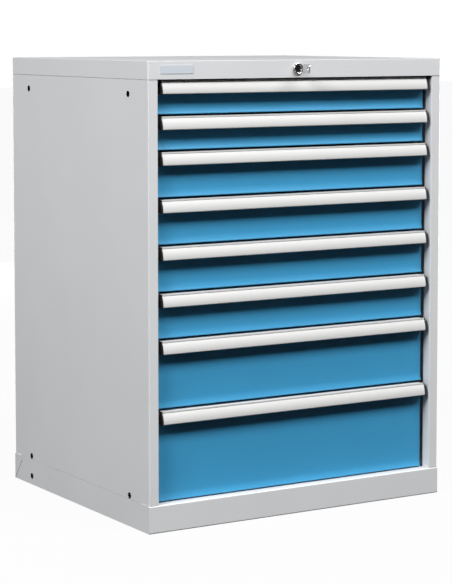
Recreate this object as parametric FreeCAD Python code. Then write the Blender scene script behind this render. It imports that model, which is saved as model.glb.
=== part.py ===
import FreeCAD, Part
import math
import os

# Modular drawer cabinet: a sheet-steel carcass on a plinth, eight drawers on
# full-extension slides, and a central lock that holds all drawers by their backs.
# Millimetres. +Z is up and the front looks towards -Y. X is to the right as seen
# from the front. The origin is on the floor, in the middle of the overall footprint,
# and that footprint runs from the tip of the key to the rear edge of the cover.

os.makedirs("parts", exist_ok=True)

# Body of the cabinet, outer sheet to outer sheet
body_width = 760.0
body_depth = 650.0
base_height = 60.0
height_unit = 25.0
drawer_units = (3, 3, 4, 4, 4, 4, 6, 8)
bottom_gap = 2.8
head_height = 37.2

# Sheet thicknesses and bends
body_sheet = 1.5
back_sheet = 1.2
cover_sheet = 1.0
base_sheet = 2.0
front_sheet = 1.2
tray_sheet = 1.0
rail_sheet = 1.5
bend_radius = 1.0
same_point = 0.001

# Side sheets: the front post is folded from the same sheet
post_face = 24.0
post_return = 23.0
rear_flange = 15.0
corner_notch = 4.5
corner_drop = 2.5
return_mitre = 6.0
join_hole_radius = 7.0
join_hole_inset = 87.0
join_hole_above_base = 7.6
join_hole_below_cover = 32.0
plinth_hole_height = 20.3

# Cover and plinth
cover_edge_radius = 2.0
cover_clearance = 2.7
base_proud = 1.0
base_flange = 30.0
sill_depth = 40.0
wing_length = 37.0
wing_rise = 50.0
seam_gap = 0.4

# Uprights that carry the slides, and the rail across the top of the front
upright_depth = 38.0
upright_setback = 25.0
head_rail_depth = 24.0
head_rail_gap = 1.2

# Drawer fronts, measured back from the front plane of the posts
front_side_gap = 9.0
flare_setback = 18.0
panel_setback = 22.5
flare_height = 9.2
grip_depth = 14.0
grip_height = 32.0
grip_gap = 0.8
front_top_gap = 5.0
front_edge_radius = 2.2
front_rim = 12.0

# Handle extrusion and its end caps, measured down from the top of the drawer
handle_top_gap = 4.0
handle_height = 28.4
handle_wall = 2.2
handle_nose_radius = 3.4
handle_face_setback = 5.6
handle_face_crown = 1.6
handle_lip_radius = 2.0
handle_bead = 5.2
handle_bead_height = 2.6
label_groove_drop = 3.2
label_groove_height = 1.0
label_groove_depth = 1.4
end_cap_thickness = 3.0
end_cap_spigot = 10.0
end_cap_spigot_height = 5.0
cap_fit = 0.3

# Trays
tray_bottom_gap = 6.0
tray_top_gap = 14.0
tray_rim_width = 4.0
tray_rim_height = 2.5
rear_space = 33.0

# Telescopic slides: a channel on the carcass, a channel on the tray, and an
# I-shaped member that runs in both
slide_width = 20.0
slide_height = 20.0
slide_above_drawer = 13.0
slide_fit = 0.35
slide_lip_gap = 1.2
slide_web = 2.0
slide_front_gap = 1.5
drawer_travel = 550.0
slide_hold = 285.0

# Lock: cylinder and key in the fascia, a rod to the back, a crank, and a bar with
# one hook for each drawer. The key turns clockwise by the lock's turn to lock.
lock_x = -8.0
lock_turn = 90.0
bezel_radius = 12.75
bezel_proud = 4.6
bezel_edge = 1.5
lock_body_radius = 9.5
lock_body_length = 24.0
lock_nut_radius = 14.0
nut_sides = 6
lock_nut_thickness = 4.0
barrel_radius = 7.5
barrel_recess = 0.8
barrel_tail = 3.0
running_fit = 0.05
hole_fit = 0.3
keyway_width = 2.4
keyway_height = 8.4
keyway_depth = 18.0
key_thickness = 2.0
key_blade_height = 8.0
key_blade_length = 17.0
key_neck = 19.0
key_bow_length = 24.0
key_bow_height = 20.0
key_bow_radius = 6.0
key_hole_radius = 3.0
key_hole_inset = 6.5
rod_radius = 4.0
crank_radius = 10.0
crank_thickness = 4.0
crank_width = 10.0
crank_pin_radius = 2.5
slot_fit = 0.5
bar_width = 30.0
bar_thickness = 3.0
bar_fit = 0.5
bar_top_margin = 8.0
hook_width = 20.0
hook_sheet = 2.5
hook_play = 1.5
catch_height = 38.0
catch_lip = 14.0
catch_sheet = 2.5
catch_play = 1.0
catch_reach = 17.0
unlocked_gap = 2.5
bracket_sheet = 2.0
bracket_height = 24.0
bracket_foot = 12.0
bearing_height = 26.0
guide_rise = 50.0
guided_drawers = ("drawer_3", "drawer_6", "drawer_8")

# Bare plate on the left of the fascia
plate_width = 79.0
plate_height = 18.0
plate_thickness = 0.8
plate_inset = 29.5
plate_rise = 11.5
plate_corner = 1.5

# Heights and planes that follow from the sizes above
drawer_heights = [units * height_unit for units in drawer_units]
stack_bottom = base_height + bottom_gap
stack_top = stack_bottom + sum(drawer_heights)
body_height = stack_top + head_height
cover_underside = body_height - cover_sheet
cover_edge = stack_top - handle_top_gap + cover_clearance
lock_z = (cover_edge + body_height) / 2
half_width = body_width / 2
half_opening = half_width - post_face
half_front = half_opening - front_side_gap
half_tray = half_opening - slide_width
half_handle = half_front - end_cap_thickness
half_base = half_width + base_proud

# The tip of the key and the rear of the cover are the same distance from the origin
bezel_front = cover_sheet + bezel_proud
barrel_front = bezel_front - barrel_recess
key_reach = barrel_front + key_neck + key_bow_length
overhang = max(cover_sheet, base_proud)
front_y = (key_reach - body_depth - overhang) / 2
rear_y = front_y + body_depth
back_face = rear_y - body_sheet - back_sheet
bar_back = back_face - bar_fit
bar_front = bar_back - bar_thickness
recess_setback = panel_setback + grip_depth
tray_front = front_y + recess_setback + front_sheet
tray_back = back_face - rear_space
crank_drop = crank_radius * math.sin(math.radians(lock_turn / 2))
crank_swing = crank_radius * math.cos(math.radians(lock_turn / 2))
bar_travel = 2 * crank_drop
bar_x = lock_x - (crank_radius + crank_swing) / 2

# The middle member of a slide runs out by half the drawer's travel
middle_length = drawer_travel / 2 + slide_hold

# How far the middle of a quarter arc lies inside its corner, as a share of the radius
quarter_arc = 1 - math.sqrt(0.5)


def vec(x, y, z):
    return FreeCAD.Vector(x, y, z)


def box(x0, x1, y0, y1, z0, z1):
    """A block between two corners."""
    return Part.makeBox(x1 - x0, y1 - y0, z1 - z0, vec(x0, y0, z0))


def rod(radius, y0, y1, x, z):
    """A round bar that lies along Y."""
    return Part.makeCylinder(radius, y1 - y0, vec(x, y0, z), vec(0, 1, 0))


def join(first, *others):
    """One solid from pieces that share faces."""
    shape = first
    for other in others:
        shape = shape.fuse(other)
    return shape.removeSplitter()


def mirrored(shape):
    """The same shape on the other side of the cabinet."""
    return shape.mirror(vec(0, 0, 0), vec(1, 0, 0))


def export(node, *solids):
    """Write one node of one or more solids."""
    shape = solids[0] if len(solids) == 1 else Part.makeCompound(list(solids))
    shape.exportStep("parts/" + node + ".step")


def edges_along(shape, direction):
    """The edges of a block that run along a direction."""
    return [e for e in shape.Edges if abs(e.tangentAt(e.FirstParameter).dot(direction)) > 1 - same_point]


def section(plane, at, a, b):
    """A point of a section that lies in the plane XY, YZ or XZ."""
    if plane == "xy":
        return vec(a, b, at)
    if plane == "yz":
        return vec(at, a, b)
    return vec(a, at, b)


def outline_face(plane, at, steps):
    """A face from an outline of points; a step (middle, end) is an arc."""
    start = section(plane, at, *steps[0])
    here = start
    edges = []
    for step in steps[1:]:
        if isinstance(step[0], tuple):
            middle = section(plane, at, *step[0])
            end = section(plane, at, *step[1])
            edges.append(Part.Arc(here, middle, end).toShape())
        else:
            end = section(plane, at, *step)
            if end.distanceToPoint(here) > same_point:
                edges.append(Part.LineSegment(here, end).toShape())
        here = end
    if here.distanceToPoint(start) > same_point:
        edges.append(Part.LineSegment(here, start).toShape())
    return Part.Face(Part.Wire(edges))


def unit(p, q):
    """Direction from p to q, and the distance."""
    length = math.hypot(q[0] - p[0], q[1] - p[1])
    return (q[0] - p[0]) / length, (q[1] - p[1]) / length, length


def offset_line(points, distance):
    """The same bent line, moved to its left by a distance."""
    moved = []
    last = len(points) - 1
    for i, point in enumerate(points):
        before = unit(points[max(i - 1, 0)], points[max(i, 1)])
        after = unit(points[min(i, last - 1)], points[min(i + 1, last)])
        scale = distance / (1 + before[0] * after[0] + before[1] * after[1])
        moved.append((point[0] - (before[1] + after[1]) * scale, point[1] + (before[0] + after[0]) * scale))
    return moved


def rounded(points, radii):
    """A bent line with each inner corner turned into an arc of its own radius."""
    steps = [points[0]]
    for i in range(1, len(points) - 1):
        back = unit(points[i], points[i - 1])
        ahead = unit(points[i], points[i + 1])
        half = math.acos(max(-1.0, min(1.0, back[0] * ahead[0] + back[1] * ahead[1]))) / 2
        radius = radii[i - 1]
        cut = radius / math.tan(half)
        towards = unit((0, 0), (back[0] + ahead[0], back[1] + ahead[1]))
        reach = radius / math.sin(half) - radius
        begin = (points[i][0] + back[0] * cut, points[i][1] + back[1] * cut)
        middle = (points[i][0] + towards[0] * reach, points[i][1] + towards[1] * reach)
        end = (points[i][0] + ahead[0] * cut, points[i][1] + ahead[1] * cut)
        steps += [begin, (middle, end)]
    steps.append(points[-1])
    return steps


def folded(plane, at, points, sheet, length, direction):
    """A sheet with rounded bends: its line, with the sheet on the left, pushed along."""
    inner = offset_line(points, sheet)
    outer_radii = []
    inner_radii = []
    for i in range(1, len(points) - 1):
        before = unit(points[i - 1], points[i])
        after = unit(points[i], points[i + 1])
        left = before[0] * after[1] - before[1] * after[0] > 0
        outer_radii.append(bend_radius + sheet if left else bend_radius)
        inner_radii.append(bend_radius if left else bend_radius + sheet)
    outer_steps = rounded(points, outer_radii)
    inner_steps = rounded(inner[::-1], inner_radii[::-1])
    face = outline_face(plane, at, outer_steps + inner_steps)
    return face.extrude(direction * length)


def creased(plane, at, points, sheet, length, direction):
    """The same for sheets out of sight, with sharp creases for bends."""
    inner = offset_line(points, sheet)
    return outline_face(plane, at, points + inner[::-1]).extrude(direction * length)


# Carcass


def side_sheet():
    """The right side: side, front post and rear flange folded from one sheet."""
    line = [
        (half_opening, front_y + post_return),
        (half_opening, front_y),
        (half_width, front_y),
        (half_width, rear_y),
        (half_width - rear_flange, rear_y),
    ]
    height = cover_underside - base_height
    sheet = folded("xy", base_height, line, body_sheet, height, vec(0, 0, 1))
    for y in (front_y + join_hole_inset, rear_y - join_hole_inset):
        for z in (base_height + join_hole_above_base, cover_edge - join_hole_below_cover):
            hole = Part.makeCylinder(join_hole_radius, post_face, vec(half_opening, y, z), vec(1, 0, 0))
            sheet = sheet.cut(hole)
    return sheet.cut(corner_waste()).cut(mitre_waste())


def corner_waste():
    """What is cut from the post's inner corner, up from the cover's lower edge."""
    steps = [
        (half_opening, cover_edge - corner_drop),
        (half_opening + corner_notch, cover_edge),
        (half_opening + corner_notch, body_height),
        (half_opening, body_height),
    ]
    return outline_face("xz", front_y, steps).extrude(vec(0, post_return, 0))


def mitre_waste():
    """What is cut from the top of the post's return, which slopes down to the rear."""
    rear = front_y + post_return
    low = cover_edge - corner_drop
    steps = [(front_y, low), (rear, low - return_mitre), (rear, cover_edge), (front_y, cover_edge)]
    return outline_face("yz", half_opening, steps).extrude(vec(body_sheet, 0, 0))


def lock_hole():
    """The round hole for the lock's body through the fascia and the head rail."""
    reach = head_rail_depth
    return rod(lock_body_radius + hole_fit, front_y - reach, front_y + reach, lock_x, lock_z)


def back_panel():
    """A flat sheet behind the flanges of the two sides."""
    edge = half_width - body_sheet - bend_radius
    return box(-edge, edge, back_face, back_face + back_sheet, base_height, cover_underside)


def cover():
    """A shallow pan turned over the top of the body, with the fascia in front."""
    outer = box(
        -half_width - cover_sheet,
        half_width + cover_sheet,
        front_y - cover_sheet,
        rear_y + cover_sheet,
        cover_edge,
        body_height,
    )
    upward = vec(0, 0, 1)
    outer = outer.makeFillet(bend_radius + body_sheet + cover_sheet, edges_along(outer, upward))
    rim = [e for e in outer.Edges if e.BoundBox.ZMin > body_height - cover_sheet / 2]
    outer = outer.makeFillet(cover_edge_radius, rim)
    inner = box(-half_width, half_width, front_y, rear_y, cover_edge - cover_sheet, cover_underside)
    inner = inner.makeFillet(bend_radius + body_sheet, edges_along(inner, upward))
    return outer.cut(inner).cut(lock_hole())


def head_rail():
    """The channel between the posts, behind the fascia, that the lock is set in."""
    low = stack_top + head_rail_gap
    high = cover_underside
    line = [
        (front_y + head_rail_depth, low),
        (front_y, low),
        (front_y, high),
        (front_y + head_rail_depth, high),
    ]
    half = half_opening + corner_notch
    rail = creased("yz", -half, line[::-1], body_sheet, 2 * half, vec(1, 0, 0))
    return rail.cut(lock_hole())


def upright(y0, y1):
    """A right-hand channel that stands against the side and carries the slides."""
    outer = half_width - body_sheet
    line = [(outer, y1), (half_opening, y1), (half_opening, y0), (outer, y0)]
    height = cover_underside - base_height
    return creased("xy", base_height, line, rail_sheet, height, vec(0, 0, 1))


def base_beam():
    """The front of the plinth: a channel whose ends wrap round onto the sides."""
    y0 = front_y - base_proud
    line = [(y0 + base_flange, 0), (y0, 0), (y0, base_height), (y0 + sill_depth, base_height)]
    beam = folded("yz", -half_base, line[::-1], base_sheet, 2 * half_base, vec(1, 0, 0))
    edge = half_base - base_sheet
    behind = y0 + base_sheet
    corner = box(edge, half_base + base_sheet, behind, y0 + 2 * sill_depth, -base_sheet, 2 * base_height)
    plate_face = half_width - base_sheet - seam_gap
    under = box(plate_face, half_base, behind, y0 + 2 * base_flange, -base_sheet, base_height / 2)
    over = box(plate_face, half_base, y0 + wing_length, y0 + 2 * sill_depth, wing_rise, 2 * base_height)
    for waste in (corner, under, over):
        beam = beam.cut(waste).cut(mirrored(waste))
    wing = outline_face(
        "yz",
        edge,
        [
            (behind, base_sheet * wing_rise / wing_length),
            (y0 + wing_length, wing_rise),
            (y0 + wing_length, base_height),
            (behind, base_height),
        ],
    ).extrude(vec(base_sheet, 0, 0))
    return join(beam, wing, mirrored(wing))


def base_side():
    """The right side of the plinth, flush with the side sheet, between the wings of the beams."""
    y0 = front_y - base_proud
    y1 = rear_y + base_proud
    edge = half_width - base_sheet
    high = base_height - seam_gap
    corner = base_sheet + seam_gap
    corner_rise = base_sheet * wing_rise / wing_length
    seam = wing_length + seam_gap
    plate = outline_face(
        "yz",
        edge,
        [
            (y0 + corner, 0),
            (y1 - corner, 0),
            (y1 - corner, corner_rise),
            (y1 - seam, wing_rise),
            (y1 - seam, high),
            (y0 + seam, high),
            (y0 + seam, wing_rise),
            (y0 + corner, corner_rise),
        ],
    ).extrude(vec(base_sheet, 0, 0))
    inner = half_base - base_flange
    top = box(inner, edge, y0 + sill_depth, y1 - sill_depth, base_height - base_sheet, base_height)
    foot = box(inner, edge, y0 + base_flange, y1 - base_flange, 0, base_sheet)
    side = join(plate, top, foot)
    hole = Part.makeCylinder(
        join_hole_radius,
        2 * base_sheet,
        vec(edge - base_sheet / 2, rear_y - join_hole_inset, plinth_hole_height),
        vec(1, 0, 0),
    )
    return side.cut(hole)


def floor_panel():
    """The deck under the lowest drawer, held below the flanges of the plinth."""
    margin = base_sheet + bend_radius
    edge = half_width - margin
    y0 = front_y - base_proud + margin
    y1 = rear_y + base_proud - margin
    top = base_height - base_sheet
    return box(-edge, edge, y0, y1, top - back_sheet, top)


def name_plate():
    """A bare plate on the left of the fascia."""
    x0 = plate_inset - half_width
    z0 = cover_edge + plate_rise
    y0 = front_y - cover_sheet - plate_thickness
    plate = box(x0, x0 + plate_width, y0, y0 + plate_thickness, z0, z0 + plate_height)
    return plate.makeFillet(plate_corner, edges_along(plate, vec(0, 1, 0)))


# Slides


def channel(x_back, x_open, z0, y0, y1):
    """A slide channel: its back at one X, its lips ending at another."""
    z1 = z0 + slide_height
    back = x_back + math.copysign(rail_sheet, x_open - x_back)
    steps = [
        (x_back, z0),
        (x_open, z0),
        (x_open, z0 + rail_sheet),
        (back, z0 + rail_sheet),
        (back, z1 - rail_sheet),
        (x_open, z1 - rail_sheet),
        (x_open, z1),
        (x_back, z1),
    ]
    return outline_face("xz", y0, steps).extrude(vec(0, y1 - y0, 0))


def middle_member(z0, y0, y1):
    """The I-shaped member between the two channels of a right-hand slide."""
    centre = half_tray + slide_width / 2
    outer = half_opening - rail_sheet - slide_fit
    inner = half_tray + rail_sheet + slide_fit
    low = z0 + rail_sheet + slide_fit
    high = z0 + slide_height - rail_sheet - slide_fit
    half_web = slide_web / 2
    steps = [
        (inner, low),
        (outer, low),
        (outer, low + slide_web),
        (centre + half_web, low + slide_web),
        (centre + half_web, high - slide_web),
        (outer, high - slide_web),
        (outer, high),
        (inner, high),
        (inner, high - slide_web),
        (centre - half_web, high - slide_web),
        (centre - half_web, low + slide_web),
        (inner, low + slide_web),
    ]
    return outline_face("xz", y0, steps).extrude(vec(0, y1 - y0, 0))


# Drawers


def drawer_front(bottom, height):
    """The painted front: a pan with a flared lower edge and a set-back finger grip."""
    top = bottom + height - front_top_gap
    flare = front_y + flare_setback
    panel = front_y + panel_setback
    recess = front_y + recess_setback
    line = [
        (tray_front, bottom),
        (flare, bottom),
        (panel, bottom + flare_height),
        (panel, bottom + height - grip_height),
        (recess, bottom + height - grip_height + grip_depth),
        (recess, top),
    ]
    block = outline_face("yz", -half_front, line + [(tray_front, top)]).extrude(vec(2 * half_front, 0, 0))
    lower_edge = [e for e in edges_along(block, vec(1, 0, 0)) if e.BoundBox.YMax < (flare + panel) / 2]
    block = block.makeFillet(front_edge_radius, lower_edge)
    inner = offset_line(line[::-1], front_sheet)[::-1]
    hollow = [(tray_back, inner[1][1])] + inner[1:5] + [(tray_back, inner[4][1])]
    half = half_front - front_sheet
    skin = block.cut(outline_face("yz", -half, hollow).extrude(vec(2 * half, 0, 0)))
    return join(skin, box(-half_front, half_front, recess, recess + front_rim, top - front_sheet, top))


def handle_outline(top, closed):
    """The handle's section, hollow for the extrusion or closed for an end cap."""
    y0 = front_y
    high = top - handle_top_gap
    low = high - handle_height
    rear = y0 + recess_setback
    nose = y0 + handle_face_setback
    groove_top = high - label_groove_drop
    groove_bottom = groove_top - label_groove_height
    nose_middle = (nose + handle_nose_radius * quarter_arc, high - label_groove_drop * quarter_arc)
    face_y = y0 + handle_face_setback / 2 - handle_face_crown
    face_z = (groove_bottom + low + handle_lip_radius) / 2
    lip_turn = handle_lip_radius * quarter_arc
    foot = top - grip_height + grip_depth + grip_gap
    steps = [
        (rear, high),
        (nose + handle_nose_radius, high),
        (nose_middle, (nose, groove_top)),
    ]
    if not closed:
        steps += [
            (nose + label_groove_depth, groove_top),
            (nose + label_groove_depth, groove_bottom),
        ]
    steps += [
        (nose, groove_bottom),
        ((face_y, face_z), (y0, low + handle_lip_radius)),
        ((y0 + lip_turn, low + lip_turn), (y0 + handle_lip_radius, low)),
    ]
    if closed:
        return steps + [(y0 + flare_setback, low), (rear, foot)]
    under = high - handle_wall
    inside = nose + label_groove_depth + handle_wall
    bead_top = low + handle_bead_height
    return steps + [
        (y0 + handle_bead, low),
        (y0 + handle_bead, bead_top),
        (y0 + handle_wall, bead_top),
        ((face_y + handle_wall, face_z), (nose + handle_wall, groove_bottom - handle_wall)),
        (inside, groove_bottom - handle_wall / 2),
        (inside, under),
        (rear - handle_wall, under),
        (rear - handle_wall, foot),
        (rear, foot),
    ]


def handle(top):
    """The aluminium extrusion over the whole width of a drawer."""
    face = outline_face("yz", -half_handle, handle_outline(top, False))
    return face.extrude(vec(2 * half_handle, 0, 0))


def end_cap(top):
    """The right end cap: a plate over the end, with a spigot under the handle's top."""
    plate = outline_face("yz", half_handle, handle_outline(top, True)).extrude(vec(end_cap_thickness, 0, 0))
    under = top - handle_top_gap - handle_wall - cap_fit
    y0 = front_y + handle_face_setback + label_groove_depth + handle_wall + cap_fit
    y1 = front_y + recess_setback - handle_wall - cap_fit
    spigot = box(half_handle - end_cap_spigot, half_handle, y0, y1, under - end_cap_spigot_height, under)
    return join(plate, spigot)


def tray_box(bottom, height):
    """The folded tray with a rim turned out round its sides and back."""
    z0 = bottom + tray_bottom_gap
    z1 = bottom + height - tray_top_gap
    body = box(-half_tray, half_tray, tray_front, tray_back, z0, z1)
    rim = box(
        -half_tray - tray_rim_width,
        half_tray + tray_rim_width,
        tray_front,
        tray_back + tray_rim_width,
        z1 - tray_rim_height,
        z1,
    )
    hollow = box(
        tray_sheet - half_tray,
        half_tray - tray_sheet,
        tray_front + tray_sheet,
        tray_back - tray_sheet,
        z0 + tray_sheet,
        z1 + tray_sheet,
    )
    return join(body, rim).cut(hollow)


def catch(bottom):
    """The angle on a tray's back that the lock's hook rises behind."""
    high = bottom + catch_height
    y1 = tray_back + catch_reach
    arm = box(bar_x - hook_width / 2, bar_x + hook_width / 2, tray_back, y1, high, high + catch_sheet)
    lip = box(bar_x - hook_width / 2, bar_x + hook_width / 2, y1 - catch_sheet, y1, high - catch_lip, high)
    return join(arm, lip)


# Lock


def lock_housing():
    """The bezel and the threaded body behind it, bored for the barrel."""
    y0 = front_y - bezel_front
    y1 = y0 + bezel_front + lock_body_length
    bezel = rod(bezel_radius, y0, front_y - cover_sheet, lock_x, lock_z)
    rim = [e for e in bezel.Edges if e.BoundBox.YMax < y0 + bezel_edge / 2]
    bezel = bezel.makeChamfer(bezel_edge, rim)
    body = rod(lock_body_radius, y0 + bezel_edge, y1, lock_x, lock_z)
    bore = rod(barrel_radius + running_fit, y0 - bezel_proud, y1 + bezel_proud, lock_x, lock_z)
    return join(bezel, body).cut(bore)


def lock_nut():
    """The six-sided nut that clamps the lock behind the head rail."""
    y0 = front_y + body_sheet
    corners = []
    for i in range(nut_sides):
        angle = 2 * math.pi * i / nut_sides
        across = lock_nut_radius * math.cos(angle)
        rise = lock_nut_radius * math.sin(angle)
        corners.append((lock_x + across, lock_z + rise))
    nut = outline_face("xz", y0, corners).extrude(vec(0, lock_nut_thickness, 0))
    y1 = y0 + 2 * lock_nut_thickness
    return nut.cut(rod(lock_body_radius + running_fit, y0 - lock_nut_thickness, y1, lock_x, lock_z))


def lock_barrel():
    """The turning barrel with its keyway."""
    y0 = front_y - barrel_front
    y1 = front_y + lock_body_length + barrel_tail
    barrel = rod(barrel_radius, y0, y1, lock_x, lock_z)
    half = keyway_width / 2
    low = lock_z - keyway_height / 2
    high = lock_z + keyway_height / 2
    return barrel.cut(box(lock_x - half, lock_x + half, y0 - bezel_edge, y0 + keyway_depth, low, high))


def key():
    """The key in the lock: a flat blade and a rounded bow with a ring hole."""
    y_face = front_y - barrel_front
    y_bow = y_face - key_neck
    x0 = lock_x - key_thickness / 2
    x1 = lock_x + key_thickness / 2
    rise = key_blade_height / 2
    blade = box(x0, x1, y_bow - key_bow_radius, y_face + key_blade_length, lock_z - rise, lock_z + rise)
    half_bow = key_bow_height / 2
    bow = box(x0, x1, y_bow - key_bow_length, y_bow, lock_z - half_bow, lock_z + half_bow)
    bow = bow.makeFillet(key_bow_radius, edges_along(bow, vec(1, 0, 0)))
    ring_centre = vec(lock_x - key_thickness, y_bow - key_bow_length + key_hole_inset, lock_z)
    ring = Part.makeCylinder(key_hole_radius, 2 * key_thickness, ring_centre, vec(1, 0, 0))
    return join(blade, bow).cut(ring)


def lock_rod():
    """The rod from the barrel to the back, with the crank and its pin."""
    y0 = front_y + lock_body_length + barrel_tail
    y_arm = bar_front - 2 * hole_fit - crank_thickness
    shaft = rod(rod_radius, y0, y_arm + crank_thickness, lock_x, lock_z)
    half = crank_width / 2
    arm = box(-crank_radius - half, half, y_arm, y_arm + crank_thickness, -half, half)
    arm.rotate(vec(0, 0, 0), vec(0, 1, 0), -lock_turn / 2)
    arm.translate(vec(lock_x, 0, lock_z))
    pin = rod(crank_pin_radius, y_arm + crank_thickness, bar_back, lock_x - crank_swing, lock_z - crank_drop)
    return join(shaft, arm, pin)


def lock_bar():
    """The flat bar behind the drawers that the crank lifts."""
    pin_z = lock_z - crank_drop
    x0 = bar_x - bar_width / 2
    z0 = base_height + bar_top_margin
    bar = box(x0, x0 + bar_width, bar_front, bar_back, z0, pin_z + bar_top_margin)
    half = (crank_radius - crank_swing) / 2 + crank_pin_radius + slot_fit
    rise = crank_pin_radius + slot_fit
    slot = box(bar_x - half, bar_x + half, bar_front - bar_fit, back_face, pin_z - rise, pin_z + rise)
    return bar.cut(slot)


def lock_hook(bottom):
    """One hook of the bar: it stands below the catch and rises behind its lip."""
    tip_y = tray_back + catch_reach - catch_sheet - catch_play - hook_sheet
    tip_top = bottom + catch_height - catch_lip - unlocked_gap
    low = tip_top - (bar_travel - unlocked_gap) - hook_play - hook_sheet
    x0 = bar_x - hook_width / 2 + hook_sheet
    x1 = bar_x + hook_width / 2 - hook_sheet
    arm = box(x0, x1, tip_y, bar_front, low, low + hook_sheet)
    tip = box(x0, x1, tip_y, tip_y + hook_sheet, low, tip_top)
    return join(arm, tip)


def bar_guide(z0):
    """A bridge on the back panel that keeps the bar upright."""
    half = bar_width / 2 + bar_fit
    strap_y = bar_front - bar_fit - bracket_sheet
    line = [
        (bar_x - half - bracket_sheet - bracket_foot, back_face - bracket_sheet),
        (bar_x - half - bracket_sheet, back_face - bracket_sheet),
        (bar_x - half - bracket_sheet, strap_y),
        (bar_x + half + bracket_sheet, strap_y),
        (bar_x + half + bracket_sheet, back_face - bracket_sheet),
        (bar_x + half + bracket_sheet + bracket_foot, back_face - bracket_sheet),
    ]
    return creased("xy", z0, line, bracket_sheet, bracket_height, vec(0, 0, 1))


def rod_bearing():
    """A bridge on the back panel, in front of the crank, that the rod turns in."""
    half = bar_width / 2 + 2 * bar_fit + crank_radius
    y_arm = bar_front - 2 * hole_fit - crank_thickness
    strap_y = y_arm - hole_fit - bracket_sheet
    line = [
        (lock_x - half - bracket_sheet - bracket_foot, back_face - bracket_sheet),
        (lock_x - half - bracket_sheet, back_face - bracket_sheet),
        (lock_x - half - bracket_sheet, strap_y),
        (lock_x + half + bracket_sheet, strap_y),
        (lock_x + half + bracket_sheet, back_face - bracket_sheet),
        (lock_x + half + bracket_sheet + bracket_foot, back_face - bracket_sheet),
    ]
    bridge = creased("xy", lock_z - bearing_height / 2, line, bracket_sheet, bearing_height, vec(0, 0, 1))
    bore = rod(rod_radius + running_fit, strap_y - bracket_sheet, strap_y + 2 * bracket_sheet, lock_x, lock_z)
    return bridge.cut(bore)


# Carcass nodes
right_side = side_sheet()
export("right_side", right_side)
export("left_side", mirrored(right_side))
export("back_panel", back_panel())
export("top_cover", cover())
export("head_rail", head_rail())
export("name_plate", name_plate())

front_beam = base_beam()
rear_beam = front_beam.mirror(vec(0, (front_y + rear_y) / 2, 0), vec(0, 1, 0))
plinth_side = base_side()
export("plinth_front", front_beam)
export("plinth_rear", rear_beam)
export("plinth_sides", plinth_side, mirrored(plinth_side))
export("floor_panel", floor_panel())

front_upright = upright(front_y + upright_setback, front_y + upright_setback + upright_depth)
rear_upright = upright(rear_y - upright_setback - upright_depth, rear_y - upright_setback)
export("uprights", front_upright, rear_upright, mirrored(front_upright), mirrored(rear_upright))

# Drawer nodes, numbered from the top, and the carcass's half of their slides
slide_start = tray_front + slide_front_gap
centre_x = half_tray + slide_width / 2
right_rails = []
hooks = []
guides = []
drawer_top = stack_top
for number, drawer_height in enumerate(drawer_heights, start=1):
    name = "drawer_" + str(number)
    drawer_bottom = drawer_top - drawer_height
    rail_z = drawer_bottom + slide_above_drawer

    export(name + "_front", drawer_front(drawer_bottom, drawer_height))
    export(name + "_handle", handle(drawer_top))
    cap = end_cap(drawer_top)
    export(name + "_end_caps", cap, mirrored(cap))
    runner = channel(half_tray, centre_x - slide_lip_gap / 2, rail_z, tray_front, tray_back)
    export(
        name + "_tray",
        tray_box(drawer_bottom, drawer_height),
        runner,
        mirrored(runner),
        catch(drawer_bottom),
    )
    middle = middle_member(rail_z, slide_start, slide_start + middle_length)
    export("slide_" + str(number) + "_middle", middle, mirrored(middle))

    right_rails.append(
        channel(half_opening, centre_x + slide_lip_gap / 2, rail_z, slide_start, rear_y - upright_setback)
    )
    hooks.append(lock_hook(drawer_bottom))
    if name in guided_drawers:
        guides.append(bar_guide(drawer_bottom + guide_rise))
    drawer_top = drawer_bottom

export("right_rails", *right_rails)
export("left_rails", *[mirrored(rail) for rail in right_rails])

# Lock nodes
export("lock_housing", lock_housing(), lock_nut())
export("lock_barrel", lock_barrel())
export("key", key())
export("lock_rod", lock_rod())
export("lock_bar", lock_bar())
export("lock_hooks", *hooks)
export("lock_brackets", rod_bearing(), *guides)

print("height", body_height, "front plane", front_y, "rear plane", rear_y)
print("lock height", lock_z, "bar travel", bar_travel, "tray length", tray_back - tray_front)
print("drawer travel", drawer_travel, "middle member", middle_length)
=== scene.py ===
import math

import bmesh
import bpy
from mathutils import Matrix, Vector


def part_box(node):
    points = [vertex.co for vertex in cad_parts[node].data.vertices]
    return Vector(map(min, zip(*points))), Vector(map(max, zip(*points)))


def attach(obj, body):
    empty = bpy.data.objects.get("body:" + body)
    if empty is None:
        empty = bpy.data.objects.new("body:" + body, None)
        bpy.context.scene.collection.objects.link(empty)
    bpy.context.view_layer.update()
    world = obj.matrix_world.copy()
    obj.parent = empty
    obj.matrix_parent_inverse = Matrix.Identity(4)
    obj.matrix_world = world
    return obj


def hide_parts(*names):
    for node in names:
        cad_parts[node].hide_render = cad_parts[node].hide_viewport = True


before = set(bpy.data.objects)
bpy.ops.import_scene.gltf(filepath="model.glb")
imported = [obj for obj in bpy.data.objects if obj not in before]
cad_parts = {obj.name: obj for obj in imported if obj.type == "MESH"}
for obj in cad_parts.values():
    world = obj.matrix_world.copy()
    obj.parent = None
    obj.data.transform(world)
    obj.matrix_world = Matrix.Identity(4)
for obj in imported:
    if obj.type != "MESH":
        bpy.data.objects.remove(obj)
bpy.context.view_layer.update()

# Shell of the cabinet. Two side sheets with their folded posts, a back panel, a head rail, a deck
# and a plinth, all of folded sheet steel. They are spot-welded and then powder-coated together in
# one light grey, so the paint is a little cloudy and has a fine orange peel.
carcass_grey = (0.635, 0.642, 0.655)
carcass_sheets = (
    "right_side",
    "left_side",
    "back_panel",
    "head_rail",
    "plinth_front",
    "plinth_rear",
    "plinth_sides",
    "floor_panel",
)


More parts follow.
